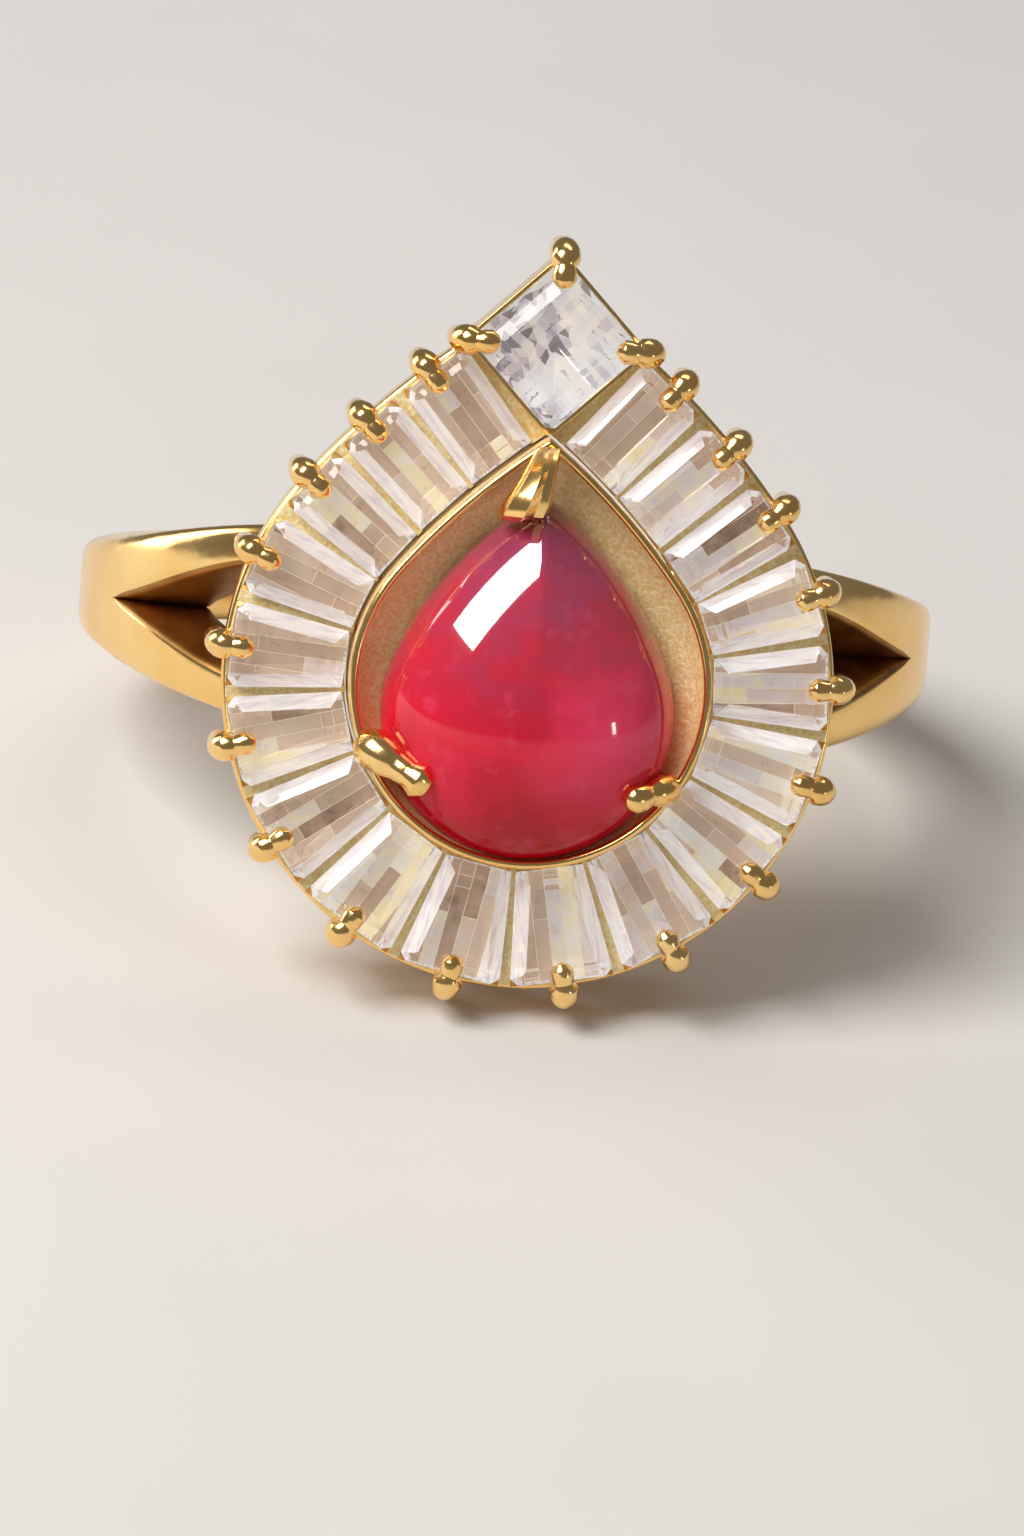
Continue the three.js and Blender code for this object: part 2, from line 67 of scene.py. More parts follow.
bore_low, bore_high = frame["record"]["physics"]["openings"][0]["box_m"]
bore_centre = (Vector(bore_low) + Vector(bore_high)) / 2
side_axis = frame["record"]["mounts"][0]["axis"]
lean = math.asin(-side_axis[1])
MILLIMETRE = 0.001
ring_to_frame = (
    Matrix.Translation(bore_centre)
    @ Matrix.Rotation(math.radians(90) - lean, 4, "X")
    @ Matrix.Scale(MILLIMETRE, 4)
)


class Socket:
    """A number in a material. Its operators add Math nodes."""

    def __init__(self, finish, socket):
        self.finish = finish
        self.socket = socket

    def maths(self, operation, *values):
        return self.finish.node("Math", {"operation": operation}, dict(enumerate(values)))

    def __add__(self, other):
        return self.maths("ADD", self, other)

    __radd__ = __add__

    def __sub__(self, other):
        return self.maths("SUBTRACT", self, other)

    def __rsub__(self, other):
        return self.maths("SUBTRACT", other, self)

    def __mul__(self, other):
        return self.maths("MULTIPLY", self, other)

    __rmul__ = __mul__


class Finish:
    """A procedural material and the one way its nodes are added."""

    def __init__(self, name):
        self.material = bpy.data.materials.new(name)
        self.material.use_nodes = True
        self.tree = self.material.node_tree
        self.tree.nodes.clear()

    # The settings are set first; an input is a plain value or another node's socket.
    def node(self, kind, settings=None, inputs=None, output=0):
        node = self.tree.nodes.new("ShaderNode" + kind)
        for name, value in (settings or {}).items():
            if name == "stops":
                self.set_stops(node.color_ramp, value)
            else:
                setattr(node, name, value)
        for name, value in (inputs or {}).items():
            if isinstance(value, Socket):
                self.tree.links.new(value.socket, node.inputs[name])
            else:
                node.inputs[name].default_value = value
        return Socket(self, node.outputs[output]) if node.outputs else None

    def set_stops(self, ramp, stops):
        while len(ramp.elements) < len(stops):
            ramp.elements.new(0.5)
        for element, (place, colour) in zip(ramp.elements, stops):
            element.position = place
            red_green_blue = colour if isinstance(colour, tuple) else (colour,) * 3
            element.color = (*red_green_blue, 1)

    def place(self):
        return self.node("TexCoord", output="Object")

    def noise(self, scale, detail=3, roughness=0.5, place=None):
        place = place or self.place()
        inputs = {"Vector": place, "Scale": scale, "Detail": detail, "Roughness": roughness}
        return self.node("TexNoise", None, inputs)

    def ramp(self, value, *stops):
        return self.node("ValToRGB", {"stops": stops}, {"Fac": value})

    def between(self, share, low, high):
        # A Mix node has like-named sockets for each kind of value: 6, 7 and output 2 are for colours.
        return self.node("Mix", {"data_type": "RGBA"}, {"Factor": share, 6: low, 7: high}, output=2)

    def bump(self, height, strength, distance):
        inputs = {"Height": height, "Strength": strength, "Distance": distance}
        return self.node("Bump", None, inputs)

    def surface(self, **inputs):
        named = {name.replace("_", " "): value for name, value in inputs.items()}
        shader = self.node("BsdfPrincipled", None, named)
        self.node("OutputMaterial", None, {"Surface": shader})


# Polished gold: a little redder in soft patches, with the faint haze and ripple of hand polishing.
def polished_gold():
    gold = Finish("polished_gold")
    patches = gold.noise(450, 4)
    haze = gold.noise(2600, 5, 0.65)
    ripple = gold.noise(900, 2)
    colour = gold.ramp(patches, (0.3, (0.95, 0.57, 0.18)), (0.7, (1.0, 0.71, 0.30)))
    gold.surface(
        Base_Color=colour,
        Metallic=1.0,
        Roughness=0.1 + 0.14 * haze,
        Normal=gold.bump(ripple, 0.25, 0.00006),
    )
    return gold.material


# Inside the fork, where the polishing wheel does not reach, the gold is satin; its dark brown colour is
# painted shade between the arms.
def fork_gold_painted_shade():
    gold = Finish("fork_gold_painted_shade")
    shade_mottle = gold.noise(900, 4, 0.6)
    gold.surface(
        Base_Color=gold.ramp(shade_mottle, (0.3, (0.30, 0.14, 0.035)), (0.7, (0.52, 0.28, 0.08))),
        Metallic=1.0,
        Roughness=0.28 + 0.2 * shade_mottle,
    )
    return gold.material


def use_only(piece):
    bpy.ops.object.select_all(action="DESELECT")
    piece.select_set(True)
    bpy.context.view_layer.objects.active = piece


def apply_modifier(piece, kind, **settings):
    use_only(piece)
    modifier = piece.modifiers.new(kind, kind)
    for name, value in settings.items():
        setattr(modifier, name, value)
    bpy.ops.object.modifier_apply(modifier=modifier.name)


def weld(piece, reach=0.0005):
    use_only(piece)
    bpy.ops.object.mode_set(mode="EDIT")
    bpy.ops.mesh.select_all(action="SELECT")
    bpy.ops.mesh.remove_doubles(threshold=reach)
    bpy.ops.mesh.dissolve_degenerate(threshold=reach)
    bpy.ops.mesh.normals_make_consistent(inside=False)
    bpy.ops.object.mode_set(mode="OBJECT")


def cut_away(piece, cutter):
    apply_modifier(piece, "BOOLEAN", object=cutter, operation="DIFFERENCE", solver="EXACT")
    bpy.data.objects.remove(cutter)


# Sets a piece drawn in the ring's own millimetres into the frame and hides the CAD node it stands for.
def set_in_frame(piece, node, slot, *finishes, soft_angle=35):
    use_only(piece)
    bpy.ops.object.shade_smooth_by_angle(angle=math.radians(soft_angle))
    piece.data.transform(ring_to_frame)
    for finish in finishes:
        piece.data.materials.append(finish)
    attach(piece, "root")
    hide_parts(node)


def eased(degrees, limits):
    share = min(1, max(0, (degrees - limits[0]) / (limits[1] - limits[0])))
    return share * share * (3 - 2 * share)


# The band at an angle round the back of the finger: its thickness, half its width over both arms, and
# half the gap between them at mid thickness, which is less than nothing before they part.
def band_shape(turn):
    above = abs(turn) - 90
    widening = eased(above, FLARE)
    half = (BAND_WIDE + (FORK_WIDE - BAND_WIDE) * widening) / 2
    arm = ARM_BACK + (ARM_WIDE - ARM_BACK) * eased(above, PARTING)
    thick = BAND_THICK + (ARM_THICK - BAND_THICK) * widening
    return thick, half, half - arm - ARM_SLANT


def soft_corner(start, corner, end, steps=5):
    points = []
    for i in range(steps):
        t = i / (steps - 1)
        points.append(start * (1 - t) ** 2 + corner * 2 * t * (1 - t) + end * t * t)
    return points


# The outline of one half of the band: [distance from the middle plane, height in the band's thickness].
# The wall that faces the other arm lies in the middle plane until the two arms part.
def arm_outline(turn):
    thick, wide, parting = band_shape(turn)
    high = thick / 2

    def wall(height):
        return max(0, parting + ARM_SLANT * height / high)

    def face(distance, sign):
        level = (1 - (distance / wide) ** BAND_SQUARENESS) ** (1 / BAND_SQUARENESS)
        return Vector((distance, sign * high * level))

    open_height = high * min(1, max(-1, -parting / ARM_SLANT))
    top_round = min(ARM_ROUNDING, 0.45 * (high - open_height))
    low_round = min(ARM_ROUNDING, wall(-high))
    low_start = Vector((wall(-high + low_round), -high + low_round))
    low_face = face(wall(-high) + low_round, -1)
    points = soft_corner(low_start, Vector((wall(-high), -high)), low_face)
    top_face = face(wall(high) + top_round, 1)
    first = math.atan2(low_face.y / high, low_face.x / wide)
    last = math.atan2(top_face.y / high, top_face.x / wide)
    for i in range(1, FACE_STEPS):
        angle = first + (last - first) * i / FACE_STEPS
        cosine = math.cos(angle)
        sine = math.sin(angle)
        spread = abs(cosine) ** BAND_SQUARENESS + abs(sine) ** BAND_SQUARENESS
        reach = spread ** (-1 / BAND_SQUARENESS)
        points.append(Vector((reach * cosine * wide, reach * sine * high)))
    wall_top = Vector((wall(high - top_round), high - top_round))
    points += soft_corner(top_face, Vector((wall(high), high)), wall_top)
    for i in range(1, WALL_STEPS):
        height = wall_top.y + (low_start.y - wall_top.y) * i / WALL_STEPS
        points.append(Vector((wall(height), height)))
    return points


# One half of the band, laid outline by outline round the finger, and its mirror image. The arms' inner
# walls take the dark brown gold with painted shade.
def forked_band():
    vertices = []
    for step in range(BAND_STEPS + 1):
        turn = (2 * step / BAND_STEPS - 1) * (90 + ARM_END)
        thick = band_shape(turn)[0]
        angle = math.radians(turn)
        for distance, height in arm_outline(turn):
            radius = BORE_RADIUS + thick / 2 + height
            vertices.append((math.sin(angle) * radius, distance, -math.cos(angle) * radius))
    around = len(vertices) // (BAND_STEPS + 1)
    faces = []
    for step in range(BAND_STEPS):
        here = step * around
        there = here + around
        for i in range(around):
            j = (i + 1) % around
            corners = [here + i, here + j, there + j, there + i]
            off_middle_plane = max(vertices[c][1] for c in corners) > 1e-6
            if off_middle_plane:
                faces.append(corners)
    faces.append(list(range(around)))
    faces.append([BAND_STEPS * around + i for i in reversed(range(around))])
    mesh = bpy.data.meshes.new("fine_shank")
    mesh.from_pydata(vertices, [], faces)
    band = bpy.data.objects.new("fine_shank", mesh)
    bpy.context.collection.objects.link(band)
    weld(band)
    apply_modifier(band, "MIRROR", use_axis=(False, True, False), merge_threshold=0.001)
    weld(band)
    # Faces that turn towards the other arm take the painted shade.
    for face in mesh.polygons:
        faces_other_arm = face.center.y * face.normal.y < 0 and abs(face.normal.y) > 0.3
        if faces_other_arm:
            face.material_index = SHADED_INNER_FINISH
    return band


gold = polished_gold()
inner_gold_painted_shade = fork_gold_painted_shade()
shank = forked_band()


# ---- gallery ----
# The head's under-wall, cast in gold: a leaning pear-shaped wall, pierced by a row of oval windows
# that let light in under the stones. The shank's arms are fitted against its outside.

PEAR_CENTRE = -0.75
PEAR_RADIUS = 4.42
PEAR_HEIGHT = 6.1
PEAR_POINT_NORMAL = 54
GALLERY_TOP = (1.7, 2.5)  # the wall's inner and outer offset from the pear outline
GALLERY_BASE = (1.0, 1.75)
GALLERY_FOOT = 8.2
GALLERY_ROOF = 10.27
GALLERY_WINDOWS = 10
WINDOW_WIDE = 2.6
WINDOW_HIGH = 0.75
WINDOW_ROW_SPARE = 4  # how far the row runs on past the round end, along one side
ARM_IN_WALL = 0.1  # how far the arms stand inside the gallery's wall


# A round end joined smoothly to two long side arcs that meet at a point.
class Pear:
    def __init__(self, radius, height, point_normal, centre):
        last = math.radians(point_normal)
        self.radius = radius
        self.centre = centre
        self.side_radius = (height ** 2 - radius ** 2) / (2 * height * math.sin(last) - 2 * radius)
        self.side_x = -self.side_radius * math.cos(last)
        self.side_y = height - self.side_radius * math.sin(last)
        self.join = math.atan2(-self.side_y, -self.side_x)

    def at(self, normal, offset, side=1):
        on_side = normal > self.join
        reach = (self.side_radius if on_side else self.radius) + offset
        x = (self.side_x if on_side else 0) + reach * math.cos(normal)
        y = (self.side_y if on_side else 0) + reach * math.sin(normal)
        return Vector((side * x, y + self.centre, 0))

    def along(self, distance, offset):
        round_length = (self.radius + offset) * (self.join + math.pi / 2)
        if distance < round_length:
            return -math.pi / 2 + distance / (self.radius + offset)
        return self.join + (distance - round_length) / (self.side_radius + offset)

    def end(self, offset):
        return math.acos(-self.side_x / (self.side_radius + offset))


pear = Pear(PEAR_RADIUS, PEAR_HEIGHT, PEAR_POINT_NORMAL, PEAR_CENTRE)


# A wire drawn corner by corner from a single point.
def drawn_wire(name, corners):
    bpy.ops.object.select_all(action="DESELECT")
    bpy.ops.mesh.primitive_plane_add(size=1)
    wire = bpy.context.object
    wire.name = name
    bpy.ops.object.mode_set(mode="EDIT")
    bpy.ops.mesh.select_all(action="SELECT")
    bpy.ops.mesh.merge(type="CENTER")
    bpy.ops.transform.translate(value=corners[0])
    for here, there in zip(corners, corners[1:]):
        step = Vector(there) - Vector(here)
        bpy.ops.mesh.extrude_region_move(TRANSFORM_OT_translate={"value": step})
    bpy.ops.mesh.select_all(action="SELECT")
    bpy.ops.mesh.remove_doubles(threshold=0.0001)
    bpy.ops.object.mode_set(mode="OBJECT")
    return wire


# Spins a section round the pear's end and on along its side, cuts it at the middle plane and mirrors it.
# The section is a list of [offset outside the pear, height] corners; a closed one ends where it began.
def pear_swept(name, outline, section, round_steps=96, side_steps=40):
    foot = outline.centre - outline.radius
    swept = drawn_wire(name, [(0, foot - offset, height) for offset, height in section])
    last = outline.end(max(offset for offset, height in section))
    bpy.ops.object.mode_set(mode="EDIT")
    bpy.ops.mesh.select_all(action="SELECT")
    round_turn = outline.join + math.pi / 2
    bpy.ops.mesh.spin(
        steps=round_steps, angle=-round_turn, center=(0, outline.centre, 0), axis=(0, 0, 1)
    )
    side_centre = (outline.side_x, outline.side_y + outline.centre, 0)
    bpy.ops.mesh.spin(
        steps=side_steps, angle=-(last - outline.join), center=side_centre, axis=(0, 0, 1)
    )
    bpy.ops.mesh.select_all(action="SELECT")
    bpy.ops.mesh.bisect(plane_co=(0, 0, 0), plane_no=(1, 0, 0), clear_inner=True, threshold=0.00001)
    bpy.ops.object.mode_set(mode="OBJECT")
    apply_modifier(swept, "MIRROR", merge_threshold=0.0005)
    weld(swept)
    return swept


def closed(section):
    return section + section[:1]


gallery_section = [
    (GALLERY_BASE[0], GALLERY_FOOT), (GALLERY_BASE[1], GALLERY_FOOT),
    (GALLERY_TOP[1], GALLERY_ROOF), (GALLERY_TOP[0], GALLERY_ROOF),
]
gallery = pear_swept("fine_gallery", pear, closed(gallery_section))


# The finger hole, as a tool to cut with.
def finger_hole():
    bpy.ops.object.select_all(action="DESELECT")
    bpy.ops.mesh.primitive_cylinder_add(vertices=256, radius=BORE_RADIUS, depth=60)
    hole = bpy.context.object
    bpy.ops.object.mode_set(mode="EDIT")
    bpy.ops.mesh.select_all(action="SELECT")
    bpy.ops.transform.rotate(value=math.pi / 2, orient_axis="X", center_override=(0, 0, 0))
    bpy.ops.object.mode_set(mode="OBJECT")
    return hole


cut_away(gallery, finger_hole())
gallery_middle = (GALLERY_TOP[1] + GALLERY_BASE[1]) / 2
gallery_length = (pear.radius + gallery_middle) * (pear.join + math.pi / 2) + WINDOW_ROW_SPARE
for i in range(GALLERY_WINDOWS // 2):
    normal = pear.along(gallery_length * (i + 0.5) / (GALLERY_WINDOWS / 2), gallery_middle)
    for side in (-1, 1):
        bpy.ops.object.select_all(action="DESELECT")
        bpy.ops.mesh.primitive_cylinder_add(vertices=48, radius=WINDOW_HIGH / 2, depth=4)
        window = bpy.context.object
        centre = pear.at(normal, gallery_middle, side)
        centre.z = (GALLERY_ROOF + BORE_RADIUS) / 2
        turned = (
            Matrix.Translation(centre)
            @ Matrix.Rotation(side * (normal - math.pi / 2), 4, "Z")
            @ Matrix.Rotation(math.pi / 2, 4, "X")
            @ Matrix.Diagonal((WINDOW_WIDE / WINDOW_HIGH, 1, 1, 1))
        )
        window.data.transform(turned)
        cut_away(gallery, window)


def soften_edges(piece, width, segments, sharpest):
    apply_modifier(
        piece, "BEVEL", width=width, segments=segments, limit_method="ANGLE",
        angle_limit=math.radians(sharpest),
    )


soften_edges(gallery, 0.06, 3, 40)
weld(gallery)

# The arms are cut to the gallery's wall.
shank_stop_section = [
    (GALLERY_BASE[0] - 2, GALLERY_FOOT - 0.03), (GALLERY_BASE[1] - ARM_IN_WALL, GALLERY_FOOT - 0.03),
    (GALLERY_TOP[1] - ARM_IN_WALL, GALLERY_ROOF), (GALLERY_TOP[0] - 2, GALLERY_ROOF),
]
cut_away(shank, pear_swept("shank_stop", pear, closed(shank_stop_section)))
set_in_frame(shank, "shank", "gold", gold, inner_gold_painted_shade)
set_in_frame(gallery, "gallery", "gold", gold)


# ---- collet ----
# The cup round the centre stone, cast in gold: a narrow rim polished bright, and a concave wall and a
# ledge left with the fine grain of the casting. It is soldered on top of the gallery.

COLLET_TOP = 12.72
COLLET_RIM = 0.2
COLLET_SLOPE = 1.25
COLLET_DEEP = 0.85
COLLET_BORE = 1.95
COLLET_FOOT = 10.1
COLLET_STEPS = 16
POLISHED_RIM = 1  # the collet's second finish


# Cast gold: satin and grainy, deep yellow in its hollows and paler on its grains.
def cast_gold():
    gold = Finish("cast_gold")
    grains = gold.noise(9000, 4, 0.7)
    lumps = gold.noise(2200, 3)
    patches = gold.noise(500, 3)
    colour = gold.between(
        patches,
        gold.ramp(grains, (0.41, (0.88, 0.62, 0.22)), (0.6, (1.0, 0.84, 0.46))),
        gold.ramp(grains, (0.41, (0.92, 0.67, 0.27)), (0.6, (1.0, 0.91, 0.60))),
    )
    gold.surface(
        Base_Color=colour,
        Metallic=0.4,
        Roughness=0.3 + 0.25 * grains,
        Normal=gold.bump(grains + lumps, 0.8, 0.00004),
    )
    return gold.material


def rounded_corner(centre, radius, start, end, steps=5):
    points = []
    for i in range(steps + 1):
        angle = math.radians(start + (end - start) * i / steps)
        points.append((centre[0] + radius * math.cos(angle), centre[1] + radius * math.sin(angle)))
    return points


rim_radius = COLLET_RIM / 2
collet_section = [(-COLLET_BORE, COLLET_FOOT), (0, COLLET_FOOT)]
collet_section += rounded_corner((-rim_radius, COLLET_TOP - rim_radius), rim_radius, 0, 180, 10)
for i in range(1, COLLET_STEPS + 1):
    turn = i / COLLET_STEPS * math.pi / 2
    inward = COLLET_RIM + COLLET_SLOPE * (1 - math.cos(turn))
    fall = rim_radius + (COLLET_DEEP - rim_radius) * math.sin(turn)
    collet_section.append((-inward, COLLET_TOP - fall))
collet_section.append((-COLLET_BORE, COLLET_TOP - COLLET_DEEP))
collet = pear_swept("fine_collet", pear, closed(collet_section))
cast = cast_gold()
for face in collet.data.polygons:
    if face.center.z > COLLET_TOP - COLLET_RIM:
        face.material_index = POLISHED_RIM
set_in_frame(collet, "collet", "cast_gold", cast, gold)


# ---- halo seat ----
# One cast gold plate, soldered round the collet, that carries the eighteen tapered stones: each lies
# in a pocket cut between two narrow bars, and a low rail closes the pockets at their outer ends.

PAIRS = 9
STONE_LONG = 2.8
STONE_START = 0.1
SLOT_BASE = 2.28
SLOT_TIP = 1.8
SLOT_EVEN = 6
SEAT_TOP = 11.6
SEAT_FOOT = 10.3
SEAT_FLOOR = 10.9
SEAT_EDGE = 3.08
SEAT_BACK = 0.06  # gap between the plate and the collet
SEAT_ROUNDING = 0.12
BAR_IN = 0.06  # half the bar's width at the collet
BAR_OUT = 0.14  # and at its outer end
POCKET_SPARE = 0.02
POCKET_LEAN = 0.08
POCKET_TOP = 13
CUT_TOP = 14  # a height above both seats, where the tools that cut them end
CAST_TOP = 1  # the plate's second finish
SQUARE_SIDE = 3.0
SQUARE_CENTRE = 7.58
SQUARE_WALL = 0.1


def slot_pitch(i):
    ease = (1 + math.cos(math.pi * min(i / SLOT_EVEN, 1))) / 2
    return SLOT_TIP + (SLOT_BASE - SLOT_TIP) * ease


halo_middle = STONE_START + STONE_LONG / 2
slots = []
slot_end = 0
for i in range(PAIRS):
    half = slot_pitch(i) / 2
    start = pear.along(slot_end, halo_middle)
    stop = pear.along(slot_end + 2 * half, halo_middle)
    slots.append({
        "number": PAIRS - i,
        "half": half,
        "normal": pear.along(slot_end + half, halo_middle),
        "fan": (stop - start) / 2,
    })
    slot_end += 2 * half


def slot_half(slot, offset):
    return slot["half"] + (offset - halo_middle) * math.tan(slot["fan"])


# Where a slot lies: X outwards from the collet, Y across and Z up.
def slot_place(slot, side, offset=0):
    turn = slot["normal"] if side > 0 else math.pi - slot["normal"]
    return Matrix.Translation(pear.at(slot["normal"], offset, side)) @ Matrix.Rotation(turn, 4, "Z")


# A rough block ground flat at each facet. A facet is a point on it and its outward normal.
def cut_block(name, low, high, facets):
    bpy.ops.object.select_all(action="DESELECT")
    bpy.ops.mesh.primitive_cube_add(size=1)
    block = bpy.context.object
    block.name = name
    low = Vector(low)
    high = Vector(high)
    bpy.ops.object.mode_set(mode="EDIT")
    bpy.ops.mesh.select_all(action="SELECT")
    bpy.ops.transform.resize(value=high - low)
    bpy.ops.transform.translate(value=(low + high) / 2)
    for point, normal in facets:
        bpy.ops.mesh.select_all(action="SELECT")
        bpy.ops.mesh.bisect(
            plane_co=point, plane_no=Vector(normal).normalized(), use_fill=True, clear_outer=True,
            threshold=0.00001,
        )
    bpy.ops.object.mode_set(mode="OBJECT")
    weld(block, 0.003)
    return block


# The pair beside the square stone is cut wider on that side.
TIP_SPARE = 0.2


def tip_spare(slot):
    return TIP_SPARE if slot["number"] == 1 else 0


seat_section = [(SEAT_BACK, SEAT_FOOT), (SEAT_EDGE - 0.3, SEAT_FOOT), (SEAT_EDGE, SEAT_FOOT + 0.3)]
rounding_centre = (SEAT_EDGE - SEAT_ROUNDING, SEAT_TOP - SEAT_ROUNDING)
seat_section += rounded_corner(rounding_centre, SEAT_ROUNDING, 0, 90)
seat_section.append((SEAT_BACK, SEAT_TOP))
seat = pear_swept("fine_halo_seat", pear, closed(seat_section))
pocket_end = STONE_START + STONE_LONG + POCKET_SPARE
for slot in slots:
    inner = slot_half(slot, 0) - BAR_IN
    outer = slot_half(slot, pocket_end) - BAR_OUT
    slope = (outer - inner) / pocket_end
    outer += tip_spare(slot)
    for hand in (-1, 1):
        sides = []
        for s in (-1, 1):
            spare = tip_spare(slot) if s == hand else 0
            sides.append(((0, s * (inner + spare), SEAT_TOP), (-slope, s, -POCKET_LEAN)))
        low = (-0.2, -outer, SEAT_FLOOR)
        pocket = cut_block("pocket", low, (pocket_end, outer, POCKET_TOP), sides)
        pocket.data.transform(slot_place(slot, hand))
        cut_away(seat, pocket)


corner_up = Matrix.Translation((0, SQUARE_CENTRE, 0)) @ Matrix.Rotation(math.pi / 4, 4, "Z")


# A square block set corner up beyond the pear's point.
def square_block(name, half, low, high):
    block = cut_block(name, (-half, -half, low), (half, half, high), [])
    block.data.transform(corner_up)
    return block


cut_away(seat, square_block("square_cut", SQUARE_SIDE / 2 + SQUARE_WALL, 9, CUT_TOP))
soften_edges(seat, 0.035, 2, 35)
weld(seat, 0.0002)
for face in seat.data.polygons:
    on_top = face.normal.z > 0.95 and face.center.z > SEAT_TOP - 0.05
    if on_top:
        face.material_index = CAST_TOP
set_in_frame(seat, "halo_seat", "gold", gold, cast)


# ---- square seat ----
# A small open box of polished gold plate past the pear's point, soldered to the collet and the halo
# seat. A ledge inside it carries the square stone over a deeper well.

SQUARE_SEAT_FOOT = 10.3
SQUARE_SEAT_TOP = 11.95
SQUARE_SEAT_LEDGE = 11.6
SQUARE_LEDGE_WIDE = 0.18
SQUARE_WELL_FLOOR = 10.6

half = SQUARE_SIDE / 2
square_seat = square_block("fine_princess_seat", half + SQUARE_WALL, SQUARE_SEAT_FOOT, SQUARE_SEAT_TOP)
cut_away(square_seat, square_block("square_hollow", half, SQUARE_SEAT_LEDGE, CUT_TOP))
well = square_block("square_well", half - SQUARE_LEDGE_WIDE, SQUARE_WELL_FLOOR, CUT_TOP)
cut_away(square_seat, well)
pear_cut_section = [(-3, 9), (SEAT_BACK, 9), (SEAT_BACK, CUT_TOP), (-3, CUT_TOP)]
cut_away(square_seat, pear_swept("pear_cut", pear, closed(pear_cut_section)))
soften_edges(square_seat, 0.05, 3, 35)
weld(square_seat, 0.0002)
set_in_frame(square_seat, "princess_seat", "gold", gold)


# ---- tapered stones ----
# Eighteen clear stones, step cut and laid in the halo seat's pockets: a long table, two steps of
# sloping facets round it, a thin girdle and two steps below that turn the light back. Their outer
# corners are cut off, and a gold claw is bent over the outer end of each.

STONE_TABLE = 12.2
STONE_GIRDLE = 11.84
STONE_LEDGE = 11.72
CROWN_STEPS = [(0.16, 0.20), (0.20, 0.16)]  # [inset, rise] of each step, from the girdle up
KEEL_STEPS = [(0.27, 0.40), (0.26, 0.26)]  # [inset, drop] of each step, from the girdle down
CORNER_CUT = 0.22
BAR_GAP_IN = 0.04  # how far a stone stands back from the middle of the bar beside it, at the collet
BAR_GAP_OUT = 0.12  # and at its outer end
CLEAR_INDEX = 1.55  # how strongly the clear stones bend light
# The back facets glow with their own colour at this strength: a painted glow in place of what many inner
# reflections gather.
PAINTED_RETURN_GLOW = 0.21  # light the back facets add for what many inner reflections gather


# Clear stone: hard and bright, with faint grey in its body.
def clear_stone():
    stone = Finish("clear_stone")
    haze = stone.noise(1500, 3)
    stone.surface(
        Base_Color=stone.ramp(haze, (0.3, (0.96, 0.95, 0.96)), (0.7, (1.0, 1.0, 1.0))),
        Roughness=0.03 * haze,
        IOR=CLEAR_INDEX,
        Transmission_Weight=1.0,
    )
    return stone.material


# Where a facet lies in its own stone: lengthways and across, in millimetres.
CUT_MAP = "cut"


def map_cut(stone, shift):
    layer = stone.data.uv_layers.get(CUT_MAP) or stone.data.uv_layers.new(name=CUT_MAP)
    for loop in stone.data.loops:
        corner = stone.data.vertices[loop.vertex_index].co
        layer.data[loop.index].uv = (corner.x + shift, corner.y + shift)


# The steep facets below the girdle are painted with long silvery streaks of reflection, and glow faintly
# with painted light.
def painted_streak_back():
    back = Finish("painted_streak_back")
    place = back.node("UVMap", {"uv_map": CUT_MAP})
    long_place = back.node("VectorMath", {"operation": "MULTIPLY"}, {0: place, 1: (0.5, 6, 1)})
    streaks = back.noise(1.5, 4, 0.6, long_place)
    colour = back.ramp(
        streaks, (0.36, (0.50, 0.46, 0.50)), (0.45, (0.80, 0.78, 0.84)), (0.52, (1.0, 1.0, 1.0)),
    )
    back.surface(
        Base_Color=colour, Metallic=0.25, Roughness=0.15 + 0.2 * streaks,
        Emission_Color=colour, Emission_Strength=PAINTED_RETURN_GLOW,
    )
    return back.material


# The flatter ones break into panels of painted reflection: most of them beige, standing in for the gold
# under the stone, a few bright as painted highlights, and all glowing faintly with painted light.
def painted_panel_back():
    back = Finish("painted_panel_back")
    place = back.node("UVMap", {"uv_map": CUT_MAP})
    settings = {"offset": 0.37, "offset_frequency": 2}
    panels = back.node("TexBrick", settings, {
        "Vector": place, "Color1": (0, 0, 0, 1), "Color2": (1, 1, 1, 1), "Mortar": (0.9, 0.9, 0.9, 1),
        "Scale": 1.0, "Mortar Size": 0.01, "Mortar Smooth": 0.3,
        "Brick Width": 1.87, "Row Height": 0.37,
    })
    clouds = back.noise(1800, 4, 0.6)
    colour = back.ramp(
        panels * 0.8 + clouds * 0.3, (0.12, (0.28, 0.18, 0.12)), (0.22, (0.55, 0.39, 0.28)),
        (0.6, (0.78, 0.62, 0.48)), (0.74, (0.84, 0.78, 0.78)), (0.84, (1.0, 0.88, 0.56)),
        (0.94, (1.0, 0.98, 0.93)),
    )
    back.surface(
        Base_Color=colour, Metallic=0.15, Roughness=0.2 + 0.2 * clouds,
        Emission_Color=colour, Emission_Strength=PAINTED_RETURN_GLOW,
    )
    return back.material


# Facet edges, bevelled very slightly and given a white, half-clear finish: a painted highlight that
# draws them as fine white lines.
def painted_glint_edge():
    edge = Finish("painted_glint_edge")
    glint_flicker = edge.noise(5000, 3)
    edge.surface(
        Base_Color=edge.ramp(glint_flicker, (0.3, (0.86, 0.84, 0.86)), (0.6, (1.0, 1.0, 1.0))),
        Roughness=0.15 + 0.2 * glint_flicker,
        IOR=CLEAR_INDEX,
        Transmission_Weight=0.35,
    )
    return edge.material
